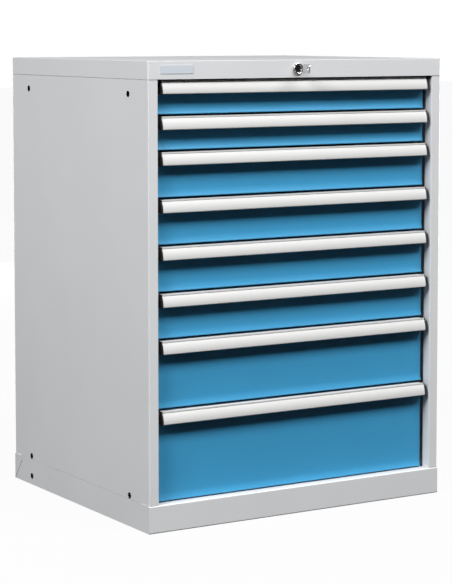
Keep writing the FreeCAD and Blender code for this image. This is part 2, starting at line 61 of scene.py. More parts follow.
def new_finish(name):
    """A bare material: itself, its nodes, its shader and the place of a point on the piece."""
    material = bpy.data.materials.new(name)
    material.use_nodes = True
    tree = material.node_tree
    place = tree.nodes.new("ShaderNodeTexCoord").outputs["Object"]
    return material, tree, tree.nodes["Principled BSDF"], place


def speckle(tree, place, scale, detail):
    """An irregular pattern of light and dark."""
    noise = tree.nodes.new("ShaderNodeTexNoise")
    noise.inputs["Scale"].default_value = scale
    noise.inputs["Detail"].default_value = detail
    tree.links.new(place, noise.inputs["Vector"])
    return noise.outputs["Fac"]


def vary_colour(tree, shader, pattern, colour, darkest, lightest, ends=(0.0, 1.0)):
    """Let a pattern take a colour between two factors of itself."""
    tint = tree.nodes.new("ShaderNodeValToRGB")
    for element, end, factor in zip(tint.color_ramp.elements, ends, (darkest, lightest)):
        element.position = end
        element.color = [min(1.0, c * factor) for c in colour] + [1.0]
    tree.links.new(pattern, tint.inputs["Fac"])
    tree.links.new(tint.outputs["Color"], shader.inputs["Base Color"])


def vary_gloss(tree, shader, pattern, roughness, spread):
    """Let a pattern make a surface rougher and smoother by up to a spread."""
    gloss = tree.nodes.new("ShaderNodeMapRange")
    gloss.inputs["To Min"].default_value = roughness - spread
    gloss.inputs["To Max"].default_value = roughness + spread
    tree.links.new(pattern, gloss.inputs["Value"])
    tree.links.new(gloss.outputs["Result"], shader.inputs["Roughness"])


def emboss(tree, shader, pattern, strength, height):
    """Let a pattern raise the surface by up to a height."""
    relief = tree.nodes.new("ShaderNodeBump")
    relief.inputs["Strength"].default_value = strength
    relief.inputs["Distance"].default_value = height
    tree.links.new(pattern, relief.inputs["Height"])
    tree.links.new(relief.outputs["Normal"], shader.inputs["Normal"])


def powder_coat(name, colour, roughness, shine):
    """Baked powder paint on steel, with its faint clouds and its orange peel."""
    material, tree, shader, place = new_finish(name)
    shader.inputs["Coat Weight"].default_value = shine
    shader.inputs["Coat Roughness"].default_value = 0.35
    clouds = speckle(tree, place, scale=7.0, detail=4.0)
    vary_colour(tree, shader, clouds, colour, darkest=0.985, lightest=1.015, ends=(0.30, 0.70))
    peel = speckle(tree, place, scale=650.0, detail=2.0)
    vary_gloss(tree, shader, peel, roughness, spread=0.06)
    emboss(tree, shader, peel, strength=0.35, height=0.00012)
    return material


def paint(material, *names):
    """Give CAD nodes a finish through their own material slots."""
    for name in names:
        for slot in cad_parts[name].material_slots:
            slot.material = material


carcass_paint = powder_coat("carcass_powder_coat", carcass_grey, roughness=0.5, shine=0.7)
paint(carcass_paint, *carcass_sheets)

# Slides and lock gear. The rails on the uprights, the middle members, the bar, its hooks and the
# brackets are pressed from zinc-plated steel: bright, slightly blue, with faint zinc flowers.
zinc_colour = (0.56, 0.58, 0.60)
drawers = range(1, 9)


def plated_steel(name, colour, roughness, flower_size, contrast):
    """Zinc or nickel on steel, with soft flowers and fine scratches in the plating."""
    material, tree, shader, place = new_finish(name)
    shader.inputs["Metallic"].default_value = 1.0
    flowers = tree.nodes.new("ShaderNodeTexVoronoi")
    flowers.inputs["Scale"].default_value = 1.0 / flower_size
    tree.links.new(place, flowers.inputs["Vector"])
    pattern = flowers.outputs["Color"]
    vary_colour(tree, shader, pattern, colour, darkest=1.0 - contrast, lightest=1.0 + contrast)
    wear = speckle(tree, place, scale=300.0, detail=4.0)
    vary_gloss(tree, shader, wear, roughness, spread=0.07)
    emboss(tree, shader, wear, strength=0.15, height=0.00003)
    return material


zinc = plated_steel("zinc_plate", zinc_colour, roughness=0.34, flower_size=0.006, contrast=0.08)
paint(zinc, "right_rails", "left_rails", "lock_brackets", "lock_rod", "lock_bar", "lock_hooks")
paint(zinc, *["slide_%d_middle" % number for number in drawers])

# Drawer fronts. Each is a pan folded from 1.2 mm sheet: a flared lower edge, a flat panel, and a
# finger grip that slopes back behind the handle. They are welded at the cheeks and powder-coated
# light blue, and bolted to their trays through the back.
front_blue = (0.0405, 0.281, 0.513)
front_sheet = 0.0012
front_flare = 0.0092
front_flare_back = 0.0192
front_panel_back = 0.0225
front_grip_height = 0.027
front_grip_depth = 0.014
front_rim = 0.012
front_bends = {"lower": (0.0022, 5), "flare": (0.0078, 5), "grip": (0.0012, 3), "cheek": (0.0006, 2)}
square_on = 0.9


def drawn_bar(name, rim, travel):
    """A bar of any section: a disc whose rim is moved to the section, then pulled to length."""
    bpy.ops.object.select_all(action="DESELECT")
    bpy.ops.mesh.primitive_circle_add(vertices=len(rim), fill_type="NGON")
    piece = bpy.context.object
    piece.name = piece.data.name = name
    for vertex, point in zip(piece.data.vertices, rim):
        vertex.co = point
    bpy.ops.object.mode_set(mode="EDIT")
    bpy.ops.mesh.select_all(action="SELECT")
    bpy.ops.mesh.extrude_region_move(TRANSFORM_OT_translate={"value": travel})
    bpy.ops.mesh.select_all(action="SELECT")
    bpy.ops.mesh.normals_make_consistent(inside=False)
    bpy.ops.mesh.select_all(action="DESELECT")
    bpy.ops.object.mode_set(mode="OBJECT")
    return piece


def flat_bar(name, x0, x1, outline):
    """A bar along X with a section in (y, z)."""
    return drawn_bar(name, [(x0, y, z) for y, z in outline], (x1 - x0, 0.0, 0.0))


def choose(piece, kind, wanted):
    """Open a piece for editing and select those of its faces or edges that pass a test."""
    bpy.context.view_layer.objects.active = piece
    bpy.ops.object.mode_set(mode="EDIT")
    bpy.ops.mesh.select_mode(type=kind)
    bpy.ops.mesh.select_all(action="DESELECT")
    mesh = bmesh.from_edit_mesh(piece.data)
    for part in mesh.faces if kind == "FACE" else mesh.edges:
        part.select = wanted(part)
    bmesh.update_edit_mesh(piece.data)


def bevel_edges(piece, width, segments, wanted):
    """Round the edges of a piece whose two ends pass a test of their places."""
    choose(piece, "EDGE", lambda edge: wanted(edge.verts[0].co, edge.verts[1].co))
    bpy.ops.mesh.bevel(offset=width, segments=segments, affect="EDGES")
    bpy.ops.object.mode_set(mode="OBJECT")


def remove_faces(piece, unwanted):
    """Take out the faces of a piece that pass a test."""
    choose(piece, "FACE", unwanted)
    bpy.ops.mesh.delete(type="FACE")
    bpy.ops.object.mode_set(mode="OBJECT")


def finish_with(piece, kind, **settings):
    """Add one modifier to a piece and apply it."""
    bpy.context.view_layer.objects.active = piece
    modifier = piece.modifiers.new(kind.lower(), kind)
    for setting, value in settings.items():
        setattr(modifier, setting, value)
    bpy.ops.object.modifier_apply(modifier=modifier.name)


def round_creases(piece, width, degrees):
    """Bevel every edge of a piece that turns by more than an angle."""
    limit = math.radians(degrees)
    finish_with(piece, "BEVEL", width=width, segments=2, limit_method="ANGLE", angle_limit=limit)


def join_pieces(first, *others):
    """One object from several, under the name of the first."""
    bpy.ops.object.select_all(action="DESELECT")
    for piece in (first, *others):
        piece.select_set(True)
    bpy.context.view_layer.objects.active = first
    bpy.ops.object.join()
    return first


def smooth_faces(piece, degrees=35.0):
    """Shade the rounded faces smooth and leave the creases sharp."""
    bpy.ops.object.select_all(action="DESELECT")
    piece.select_set(True)
    bpy.context.view_layer.objects.active = piece
    bpy.ops.object.shade_smooth_by_angle(angle=math.radians(degrees))
    finish_with(piece, "WEIGHTED_NORMAL", keep_sharp=True)


def mount(piece, material, slot, body, *replaced):
    """Give a finished piece its finish, its body and the CAD nodes that it stands for."""
    piece.data.materials.clear()
    piece.data.materials.append(material)
    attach(piece, body)
    if replaced:
        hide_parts(*replaced)


def drawer_front(number):
    """The pan of one drawer, from its flared lower edge to the rim behind the handle."""
    name = "drawer_%d_front" % number
    low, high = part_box(name)
    handle_low, handle_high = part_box("drawer_%d_handle" % number)
    flare = handle_low.y + front_flare_back
    panel = handle_low.y + front_panel_back
    recess = handle_high.y
    back = recess + front_sheet
    grip = high.z - front_grip_height
    outline = [
        (back, low.z),
        (flare, low.z),
        (panel, low.z + front_flare),
        (panel, grip),
        (recess, grip + front_grip_depth),
        (recess, high.z),
        (back, high.z),
    ]
    pan = flat_bar(name + "_pan", low.x, high.x, outline)
    edge = high.x - low.x - front_sheet
    slack = front_sheet / 4

    def runs_at(y, z):
        def wanted(a, b):
            long = abs(a.x - b.x) > edge
            return long and abs(a.y - y) < slack and abs(a.z - z) < slack

        return wanted

    bevel_edges(pan, *front_bends["lower"], runs_at(flare, low.z))
    bevel_edges(pan, *front_bends["flare"], runs_at(panel, low.z + front_flare))
    for y, z in ((panel, grip), (recess, grip + front_grip_depth)):
        bevel_edges(pan, *front_bends["grip"], runs_at(y, z))

    def cheek(a, b):
        ahead = max(a.y, b.y) < recess + slack
        at_end = abs(a.x - low.x) < slack or abs(a.x - high.x) < slack
        return ahead and at_end and abs(a.x - b.x) < slack

    bevel_edges(pan, *front_bends["cheek"], cheek)
    remove_faces(pan, lambda face: face.normal.y > square_on)
    finish_with(pan, "SOLIDIFY", thickness=front_sheet, offset=-1.0, use_even_offset=False)
    rim_outline = [
        (recess + slack, high.z - front_sheet),
        (recess + front_rim, high.z - front_sheet),
        (recess + front_rim, high.z),
        (recess + slack, high.z),
    ]
    rim = flat_bar(name + "_rim", low.x, high.x, rim_outline)
    pan = join_pieces(pan, rim)
    smooth_faces(pan)
    mount(pan, front_paint, "front_paint", "drawer_%d" % number, name)


front_paint = powder_coat("front_powder_coat", front_blue, roughness=0.45, shine=0.0)
for number in drawers:
    drawer_front(number)

# Handles. One aluminium extrusion over the whole width of each drawer, anodised to a satin: a top
# flange behind an upright lip, a groove for a label strip, a crowned face and a bead to pull.
handle_silver = (0.58, 0.58, 0.575)
handle_seat = 0.001
handle_rise = 0.0018
handle_front_wall = 0.0018
cap_nose_radius = 0.001
handle_face_back = 0.0056
handle_crown = 0.0016
handle_lip_radius = 0.002
handle_wall = 0.0022
handle_bead = 0.0052
handle_bead_height = 0.0026
handle_foot = 0.0132
crease_angle = 50.0
handle_steps = {"face": 16, "lip": 6, "inside": 10, "nose": 4}
groove_drop = 0.0032
groove_height = 0.001
groove_depth = 0.0014
handle_edge = 0.0002


def arc(start, middle, end, steps):
    """Points on the circle through three points, from after the start to the end."""
    ax, ay = start
    bx, by = middle
    cx, cy = end
    d = 2 * (ax * (by - cy) + bx * (cy - ay) + cx * (ay - by))
    a2, b2, c2 = ax * ax + ay * ay, bx * bx + by * by, cx * cx + cy * cy
    ox = (a2 * (by - cy) + b2 * (cy - ay) + c2 * (ay - by)) / d
    oy = (a2 * (cx - bx) + b2 * (ax - cx) + c2 * (bx - ax)) / d
    radius = math.hypot(ax - ox, ay - oy)
    begin = math.atan2(ay - oy, ax - ox)
    halfway = math.remainder(math.atan2(by - oy, bx - ox) - begin, math.tau)
    sweep = math.remainder(math.atan2(cy - oy, cx - ox) - begin - halfway, math.tau) + halfway
    turns = [begin + sweep * step / steps for step in range(1, steps + 1)]
    return [(ox + radius * math.cos(turn), oy + radius * math.sin(turn)) for turn in turns]


def handle_section(front, rear, low, high, closed):
    """The section of the handle, hollow for the extrusion or closed for an end cap."""
    nose = front + handle_face_back
    quarter = 1 - math.sqrt(0.5)
    groove_top = high - groove_drop
    groove_low = groove_top - groove_height
    face_middle = (front + handle_face_back / 2 - handle_crown, (groove_low + low + handle_lip_radius) / 2)
    lip_top = (front, low + handle_lip_radius)
    lip_middle = (front + handle_lip_radius * quarter, low + handle_lip_radius * quarter)
    lip_end = (front + handle_lip_radius, low)
    if closed:
        bend = cap_nose_radius
        start, end = (nose + bend, high), (nose, high - bend)
        points = [(rear, high), start]
        points += arc(start, (nose + bend * quarter, high - bend * quarter), end, handle_steps["nose"])
    else:
        behind = nose + handle_front_wall
        points = [(rear, high - handle_seat), (behind, high - handle_rise), (behind, high)]
        points += [(nose, high), (nose, groove_top)]
        points += [(nose + groove_depth, groove_top), (nose + groove_depth, groove_low)]
    points += [(nose, groove_low)]
    points += arc((nose, groove_low), face_middle, lip_top, handle_steps["face"])
    points += arc(lip_top, lip_middle, lip_end, handle_steps["lip"])
    if closed:
        return points + [(front + front_flare_back, low), (rear, high - handle_foot)]
    under = high - handle_rise - handle_wall
    inside = nose + groove_depth + handle_wall
    bead_top = low + handle_bead_height
    back_start = (front + handle_wall, bead_top)
    back_middle = (face_middle[0] + handle_wall, face_middle[1])
    back_end = (nose + handle_wall, groove_low - handle_wall)
    points += [(front + handle_bead, low), (front + handle_bead, bead_top), back_start]
    points += arc(back_start, back_middle, back_end, handle_steps["inside"])
    return points + [
        (inside, groove_low - handle_wall / 2),
        (inside, under),
        (rear - handle_wall, under),
        (rear - handle_wall, high - handle_foot),
        (rear, high - handle_foot),
    ]


def satin_aluminium(name, colour, roughness):
    """Anodised aluminium with the fine drawing lines of the extrusion, which run along X."""
    material, tree, shader, place = new_finish(name)
    shader.inputs["Metallic"].default_value = 0.05
    shader.inputs["Specular IOR Level"].default_value = 0.35
    stretch = tree.nodes.new("ShaderNodeMapping")
    stretch.inputs["Scale"].default_value = (1.5, 1600.0, 1600.0)
    tree.links.new(place, stretch.inputs["Vector"])
    lines = speckle(tree, stretch.outputs["Vector"], scale=1.0, detail=3.0)
    vary_colour(tree, shader, lines, colour, darkest=0.97, lightest=1.03)
    vary_gloss(tree, shader, lines, roughness, spread=0.06)
    emboss(tree, shader, lines, strength=0.2, height=0.00002)
    return material


aluminium = satin_aluminium("satin_anodised_aluminium", handle_silver, roughness=0.68)
for number in drawers:
    node = "drawer_%d_handle" % number
    low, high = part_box(node)
    bar = flat_bar(node + "_bar", low.x, high.x, handle_section(low.y, high.y, low.z, high.z, False))
    round_creases(bar, handle_edge, crease_angle)
    smooth_faces(bar)
    mount(bar, aluminium, "handle_aluminium", "drawer_%d" % number, node)

# End caps. Black moulded plastic, one pressed into each end of a handle by a spigot. The plate
# follows the outside of the handle and reaches down behind it to the grip.
cap_plate = 0.003
cap_edge = 0.0006
spigot_length = 0.010
spigot_height = 0.005
spigot_play = 0.0003
cap_black = (0.010, 0.010, 0.011)


def moulded_plastic(name, colour, roughness):
    """Black plastic with the fine spark-eroded grain of its mould."""
    material, tree, shader, place = new_finish(name)
    shader.inputs["Specular IOR Level"].default_value = 0.3
    grain = speckle(tree, place, scale=2200.0, detail=2.0)
    vary_colour(tree, shader, grain, colour, darkest=0.8, lightest=1.3)
    vary_gloss(tree, shader, grain, roughness, spread=0.08)
    emboss(tree, shader, grain, strength=0.3, height=0.00004)
    return material


cap_plastic = moulded_plastic("black_moulded_plastic", cap_black, roughness=0.55)
for number in drawers:
    node = "drawer_%d_end_caps" % number
    low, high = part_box(node)
    handle_low, handle_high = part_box("drawer_%d_handle" % number)
    section = handle_section(handle_low.y, handle_high.y, handle_low.z, handle_high.z, True)
    spigot_front = handle_low.y + handle_face_back + groove_depth + handle_wall + spigot_play
    spigot_rear = handle_high.y - handle_wall - spigot_play
    spigot_top = handle_high.z - handle_wall - spigot_play
    spigot_section = [
        (spigot_front, spigot_top - spigot_height),
        (spigot_rear, spigot_top - spigot_height),
        (spigot_rear, spigot_top),
        (spigot_front, spigot_top),
    ]
    parts = []
    for side, x0, x1, reach in (
        ("left", low.x, low.x + cap_plate, low.x + cap_plate + spigot_length),
        ("right", high.x, high.x - cap_plate, high.x - cap_plate - spigot_length),
    ):
        parts.append(flat_bar(node + "_" + side, x0, x1, section))
        parts.append(flat_bar(node + "_spigot_" + side, x1, reach, spigot_section))
    caps = join_pieces(*parts)
    round_creases(caps, cap_edge, crease_angle)
    smooth_faces(caps)
    mount(caps, cap_plastic, "cap_plastic", "drawer_%d" % number, node)

# Trays. Each is folded from 1 mm sheet with a rim turned out and down round the sides and the back,
# and its walls are punched with rows of slots that hold the dividers. Grey powder coat. A channel
# for the slide is welded to each side, and the catch for the central lock to the back.
tray_grey = (0.42, 0.44, 0.45)
tray_half = 0.336
tray_sheet = 0.001
tray_rim_width = 0.004
tray_rim_height = 0.0025
tray_bends = {"floor": (0.0016, 3), "rim": (0.0007, 2)}
tray_weld = 0.00002
slot_pitch = 0.017
slot_width = 0.0026
slot_height = 0.014
slot_rise = 0.022
slot_foot = 0.009
slot_margin = 0.012
catch_reach = 0.017
catch_half = 0.010
catch_middle = -0.01654
catch_height = 0.032
catch_drop = 0.014
catch_sheet = 0.0025
catch_edge = catch_sheet / 6
runner_rise = 0.007
runner_height = 0.020
runner_reach = 0.0094
runner_sheet = 0.0015
runner_curl = 0.0006
runner_edge = runner_curl / 3


def stops(first, last):
    """Places of the edges of evenly spaced slots between two ends of a wall, with the ends."""
    count = int((last - first - 2 * slot_margin) / slot_pitch)
    middle = (first + last) / 2
    places = [first]
    for step in range(count + 1):
        centre = middle + (step - count / 2) * slot_pitch
        places += [centre - slot_width / 2, centre + slot_width / 2]
    return places + [last]


def wrapped_grid(name, columns, rows, place):
    """A sheet of faces in columns and rows, each of whose points is put in its place."""
    bpy.ops.object.select_all(action="DESELECT")
    bpy.ops.mesh.primitive_grid_add(x_subdivisions=columns, y_subdivisions=rows)
    sheet = bpy.context.object
    sheet.name = sheet.data.name = name
    for index, vertex in enumerate(sheet.data.vertices):
        vertex.co = place(index % (columns + 1), index // (columns + 1))
    return sheet


def slotted_walls(name, low, high, back):
    """The four walls with their slots and rim: a grid wrapped round the tray, slots taken out."""
    corners = []
    for y in stops(low.y, back)[:-1]:
        corners.append((-tray_half, y, -1, 0))
    for x in stops(-tray_half, tray_half)[:-1]:
        corners.append((x, back, 0, 1))
    for y in stops(low.y, back)[:0:-1]:
        corners.append((tray_half, y, 1, 0))
    for x in stops(-tray_half, tray_half)[:0:-1]:
        corners.append((x, low.y, 0, 0))
    side = len(stops(low.y, back)) - 1
    across = len(stops(-tray_half, tray_half)) - 1
    corners[side] = (-tray_half, back, -1, 1)
    corners[side + across] = (tray_half, back, 1, 1)
    corners[2 * side + across] = (tray_half, low.y, 1, 0)
    corners.append(corners[0])

    rim_z = high.z - tray_sheet
    out = tray_rim_width - tray_sheet
    levels = [(low.z, 0.0)]
    z = low.z + slot_foot
    while z + slot_height < rim_z - slot_foot / 2:
        levels += [(z, 0.0), (z + slot_height, 0.0)]
        z += slot_rise
    rim_level = len(levels)
    levels += [(rim_z, 0.0), (rim_z, out), (high.z - tray_rim_height, out)]

    def place(column, row):
        x, y, step_x, step_y = corners[column]
        level, reach = levels[row]
        return x + step_x * reach, y + step_y * reach, level

    columns = len(corners) - 1
    walls = wrapped_grid(name, columns, len(levels) - 1, place)

    def unwanted(face):
        column, row = face.index % columns, face.index // columns
        wall_start = 0
        for length in (side, across, side, across):
            if column < wall_start + length:
                break
            wall_start += length
        slotted = (column - wall_start) % 2 == 1 and row % 2 == 1 and row < rim_level - 1
        front_rim = wall_start == 2 * side + across and row >= rim_level
        return slotted or front_rim

    remove_faces(walls, unwanted)
    bpy.ops.object.mode_set(mode="EDIT")
    bpy.ops.mesh.select_all(action="SELECT")
    bpy.ops.mesh.remove_doubles(threshold=tray_weld)
    foot = low.z + tray_sheet / 2
    choose(walls, "EDGE", lambda edge: max(vertex.co.z for vertex in edge.verts) < foot)
    bpy.ops.mesh.edge_face_add()
    bpy.ops.mesh.select_all(action="SELECT")
    bpy.ops.mesh.normals_make_consistent(inside=False)
    bpy.ops.object.mode_set(mode="OBJECT")

    slack = tray_sheet / 4

    def at_floor(a, b):
        return max(a.z, b.z) < low.z + slack

    def at_rim(a, b):
        level = abs(a.z - rim_z) < slack and abs(b.z - rim_z) < slack
        inner = max(abs(a.x), abs(b.x)) < tray_half + slack and max(a.y, b.y) < back + slack
        return level and inner and min(a.y, b.y) > low.y - slack

    bevel_edges(walls, *tray_bends["floor"], at_floor)
    bevel_edges(walls, *tray_bends["rim"], at_rim)
    finish_with(walls, "SOLIDIFY", thickness=tray_sheet, offset=-1.0, use_even_offset=True)
    smooth_faces(walls)
    return walls


def slide_runner(name, side, low, back):
    """The channel on one side of a tray in which the middle member runs."""
    foot = low.z + runner_rise
    head = foot + runner_height
    wall, open_end = side * tray_half, side * (tray_half + runner_reach)
    inner = wall + side * runner_sheet
    curl = open_end - side * runner_curl
    section = [
        (wall, foot),
        (open_end, foot),
        (open_end, foot + runner_sheet + runner_curl),
        (curl, foot + runner_sheet + runner_curl),
        (curl, foot + runner_sheet),
        (inner, foot + runner_sheet),
        (inner, head - runner_sheet),
        (curl, head - runner_sheet),
        (curl, head - runner_sheet - runner_curl),
        (open_end, head - runner_sheet - runner_curl),
        (open_end, head),
        (wall, head),
    ]
    rim = [(x, low.y, z) for x, z in section]
    runner = drawn_bar(name, rim, (0.0, back - low.y, 0.0))
    round_creases(runner, runner_edge, crease_angle)
    return runner


tray_paint = powder_coat("tray_powder_coat", tray_grey, roughness=0.5, shine=0.0)
for number in drawers:
    node = "drawer_%d_tray" % number
    body = "drawer_%d" % number
    low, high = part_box(node)
    back = high.y - catch_reach
    walls = slotted_walls(node + "_walls", low, high, back)
    mount(walls, tray_paint, "tray_paint", body, node)
    arm_z = low.z + catch_height
    catch_outline = [
        (back - tray_sheet, arm_z),
        (high.y - catch_sheet, arm_z),
        (high.y - catch_sheet, arm_z - catch_drop),
        (high.y, arm_z - catch_drop),
        (high.y, arm_z + catch_sheet),
        (back - tray_sheet, arm_z + catch_sheet),
    ]
    x0, x1 = catch_middle - catch_half, catch_middle + catch_half
    catch = flat_bar(node + "_catch", x0, x1, catch_outline)
    round_creases(catch, catch_edge, crease_angle)
    runners = [slide_runner(node + "_runner", side, low, back) for side in (-1, 1)]
    gear = join_pieces(catch, *runners)
    smooth_faces(gear)
    mount(gear, zinc, "slide_zinc", body, node)

# Uprights. Four channels roll-formed from 1.5 mm sheet stand against the sides and carry the slides
# on hooks; they are punched with two rows of slots and painted like the trays. The front fold of
# the front ones slants away from the drawers, so that the gap beside a shut drawer stays dark.
upright_sheet = 0.0015
upright_depth = 0.038
upright_web = 0.356
upright_slope = 0.014
upright_slant = 0.012
upright_bend = (0.0012, 2)
punch_width = 0.004
punch_height = 0.014
punch_rows = 2
punch_pitch = 0.025
punch_inset = 0.0045
punch_gap = 0.0035


def upright_channel(name, side, outer, y0, z0, z1, slanted):
    """One upright: a grid folded to the channel's section, with its slots taken out of the web."""
    web, y1 = side * upright_web, y0 + upright_depth
    fold = y0 + upright_slope if slanted else y0
    path = [(side * outer, y1), (web, y1)]
    mark = y1 - punch_inset
    for row in range(punch_rows):
        path += [(web, mark), (web, mark - punch_width)]
        mark -= punch_width + punch_gap
    path.append((web, fold))
    if slanted:
        path.append((web + side * upright_slant, y0))
    path.append((side * outer, y0))
    punched = [2 + 2 * row for row in range(punch_rows)]
    if side < 0:
        punched = [len(path) - 2 - column for column in punched]
        path.reverse()
    levels = [z0]
    mark = z0 + punch_pitch / 2
    while mark + punch_height < z1:
        levels += [mark, mark + punch_height]
        mark += punch_pitch
    levels.append(z1)

    columns = len(path) - 1
    rows = len(levels) - 1
    channel = wrapped_grid(name, columns, rows, lambda column, row: (*path[column], levels[row]))

    def unwanted(face):
        return face.index % columns in punched and face.index // columns % 2 == 1

    remove_faces(channel, unwanted)

    def at_fold(a, b):
        slack = upright_bend[0] / 4
        upright = abs(a.x - b.x) < slack and abs(a.y - b.y) < slack
        folded = min(abs(a.y - edge) for edge in (y0, fold, y1)) < slack
        return upright and folded and abs(a.x) < outer

    bevel_edges(channel, *upright_bend, at_fold)
    finish_with(channel, "SOLIDIFY", thickness=upright_sheet, offset=-1.0, use_even_offset=True)
    return channel


low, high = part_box("uprights")
channels = []
for side in (-1, 1):
    for y0, slanted in ((low.y, True), (high.y - upright_depth, False)):
        channels.append(upright_channel("upright", side, high.x, y0, low.z, high.z, slanted))
uprights = join_pieces(*channels)
smooth_faces(uprights)
mount(uprights, tray_paint, "tray_paint", "carcass", "uprights")

# Lock. A cam lock: a nickel-plated bezel with a rolled rim and a sunk mouth, its body and nut, and
# a nickel barrel deep in it, coloured near black: painted shade for the deep mouth. The key stands
# in the barrel: a flat blade with a rounded bow.
bezel_profile = (
    (0.01275, 0.0046),
    (0.01275, 0.0017),
    (0.01240, 0.0007),
    (0.01160, 0.0001),
    (0.01090, 0.0000),
    (0.01000, 0.0002),
    (0.00920, 0.0008),
    (0.00870, 0.0018),
    (0.00840, 0.0044),
    (0.00760, 0.0046),
    (0.00760, 0.0296),
    (0.00950, 0.0296),
    (0.00950, 0.0046),
)
barrel_recess = 0.0008
barrel_depth = 0.0030
barrel_edge = 0.0007
barrel_radius = 0.0075
keyway_width = 0.0024
keyway_height = 0.0084
keyway_depth = 0.014
nut_sides = 6
nut_radius = 0.014
nut_place = 0.0071
nut_thickness = 0.004
nut_bore = 0.0094
key_thickness = 0.002
bow_length = 0.024
bow_corner = 0.006
bow_steps = 6
bow_shoulder = 0.0035
shoulder_steps = 5
blade_rise = 0.004
key_edge = key_thickness / 10
ring_radius = 0.003
ring_inset = 0.0065
ring_steps = 32
groove_rise = 0.0014
groove_cut = 0.0004
turned_steps = 64
turned_weld = 0.000002
nickel_colour = (0.66, 0.66, 0.65)
barrel_painted_shade_colour = (0.06, 0.06, 0.065)


def turned(name, centre, along, profile, closed):
    """A turned piece: a profile (radius, depth) spun round once about an axis along X or Y."""
    across = Vector((0.0, 0.0, 1.0))
    bpy.ops.object.select_all(action="DESELECT")
    bpy.ops.mesh.primitive_circle_add(vertices=len(profile), fill_type="NOTHING")
    piece = bpy.context.object
    piece.name = piece.data.name = name
    for vertex, (radius, depth) in zip(piece.data.vertices, profile):
        vertex.co = centre + radius * across + depth * along
    bpy.ops.object.mode_set(mode="EDIT")
    if not closed:
        near_axis = centre.z + profile[1][0] / 2
        choose(piece, "EDGE", lambda edge: max(vertex.co.z for vertex in edge.verts) < near_axis)
        bpy.ops.mesh.delete(type="EDGE")
        bpy.ops.mesh.select_mode(type="VERT")
    bpy.ops.mesh.select_all(action="SELECT")
    bpy.ops.mesh.spin(steps=turned_steps, angle=math.tau, center=centre, axis=along)
    bpy.ops.mesh.select_all(action="SELECT")
    bpy.ops.mesh.remove_doubles(threshold=turned_weld)
    bpy.ops.mesh.normals_make_consistent(inside=False)
    bpy.ops.object.mode_set(mode="OBJECT")
    return piece


def drill(name, centre, along, radius, length):
    """A plain round cutter that starts at a centre."""
    profile = ((0.0, 0.0), (radius, 0.0), (radius, length), (0.0, length))
    return turned(name, centre, along, profile, False)


def cut_away(piece, *cutters):
    """Cut other solids out of a piece and throw them away."""
    for cutter in cutters:
        finish_with(piece, "BOOLEAN", operation="DIFFERENCE", solver="EXACT", object=cutter)
        bpy.data.objects.remove(cutter)


def block(name, x, y, z):
    """A box between pairs of places along each axis."""
    return flat_bar(name, x[0], x[1], [(y[0], z[0]), (y[1], z[0]), (y[1], z[1]), (y[0], z[1])])


def corner(y, z, radius, first, steps):
    """The points of a quarter circle that starts at an angle in degrees."""
    turns = [math.radians(first + 90.0 * step / steps) for step in range(steps + 1)]
    return [(y + radius * math.cos(turn), z + radius * math.sin(turn)) for turn in turns]


nickel = plated_steel("polished_nickel", nickel_colour, roughness=0.22, flower_size=0.004, contrast=0.015)
# The barrel's near-black colour is painted shade for the deep mouth of the lock.
barrel_painted_shade = plated_steel(
    "barrel_nickel_painted_shade", barrel_painted_shade_colour, roughness=0.35, flower_size=0.004, contrast=0.03
)
low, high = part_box("lock_barrel")
lock_x, lock_z = (low.x + high.x) / 2, (low.z + high.z) / 2
bezel_y = low.y - barrel_recess
lock_centre = Vector((lock_x, bezel_y, lock_z))
inwards = Vector((0.0, 1.0, 0.0))
housing = turned("lock_bezel", lock_centre, inwards, bezel_profile, True)
rim = []
for step in range(nut_sides):
    turn = math.tau * step / nut_sides
    across, rise = nut_radius * math.cos(turn), nut_radius * math.sin(turn)
    rim.append((lock_x + across, bezel_y + nut_place, lock_z + rise))
nut = drawn_bar("lock_nut", rim, (0.0, nut_thickness, 0.0))
cut_away(nut, drill("nut_bore", lock_centre, inwards, nut_bore, 2 * nut_place))
housing = join_pieces(housing, nut)
smooth_faces(housing)
mount(housing, nickel, "lock_chrome", "carcass", "lock_housing")

tail = high.y - bezel_y
barrel_profile = (
    (0.0, barrel_depth),
    (barrel_radius - barrel_edge, barrel_depth),
    (barrel_radius, barrel_depth + barrel_edge),
    (barrel_radius, tail),
    (0.0, tail),
)
barrel = turned("lock_barrel_plug", lock_centre, inwards, barrel_profile, False)
half, rise = keyway_width / 2, keyway_height / 2
tip = bezel_y + barrel_depth + keyway_depth
keyway = block("keyway", (lock_x - half, lock_x + half), (bezel_y, tip), (lock_z - rise, lock_z + rise))
cut_away(barrel, keyway)
smooth_faces(barrel)
mount(barrel, barrel_painted_shade, "lock_chrome", "lock_cylinder", "lock_barrel")

key_low, key_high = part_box("key")
bow_end = key_low.y + bow_length
bow_rise = (key_high.z - key_low.z) / 2
near, far = key_low.y + bow_corner, bow_end - bow_shoulder
foot, head = lock_z - bow_rise, lock_z + bow_rise
key_outline = corner(near, foot + bow_corner, bow_corner, 180.0, bow_steps)
key_outline += corner(far, foot + bow_shoulder, bow_shoulder, 270.0, shoulder_steps)
key_outline += [(bow_end, lock_z - blade_rise), (tip - blade_rise / 2, lock_z - blade_rise)]
key_outline += [(tip, lock_z - blade_rise / 2), (tip, lock_z + blade_rise / 2)]
key_outline += [(tip - blade_rise / 2, lock_z + blade_rise), (bow_end, lock_z + blade_rise)]
key_outline += corner(far, head - bow_shoulder, bow_shoulder, 0.0, shoulder_steps)
key_outline += corner(near, head - bow_corner, bow_corner, 90.0, bow_steps)
x0, x1 = lock_x - key_thickness / 2, lock_x + key_thickness / 2
key = flat_bar("key_blank", x0, x1, key_outline)
ring_y, ring = key_low.y + ring_inset, []
for step in range(ring_steps):
    turn = math.tau * step / ring_steps
    ring.append((ring_y + ring_radius * math.cos(turn), lock_z + ring_radius * math.sin(turn)))
ring_hole = flat_bar("ring_hole", x0 - key_thickness, x1 + key_thickness, ring)
grooves = []
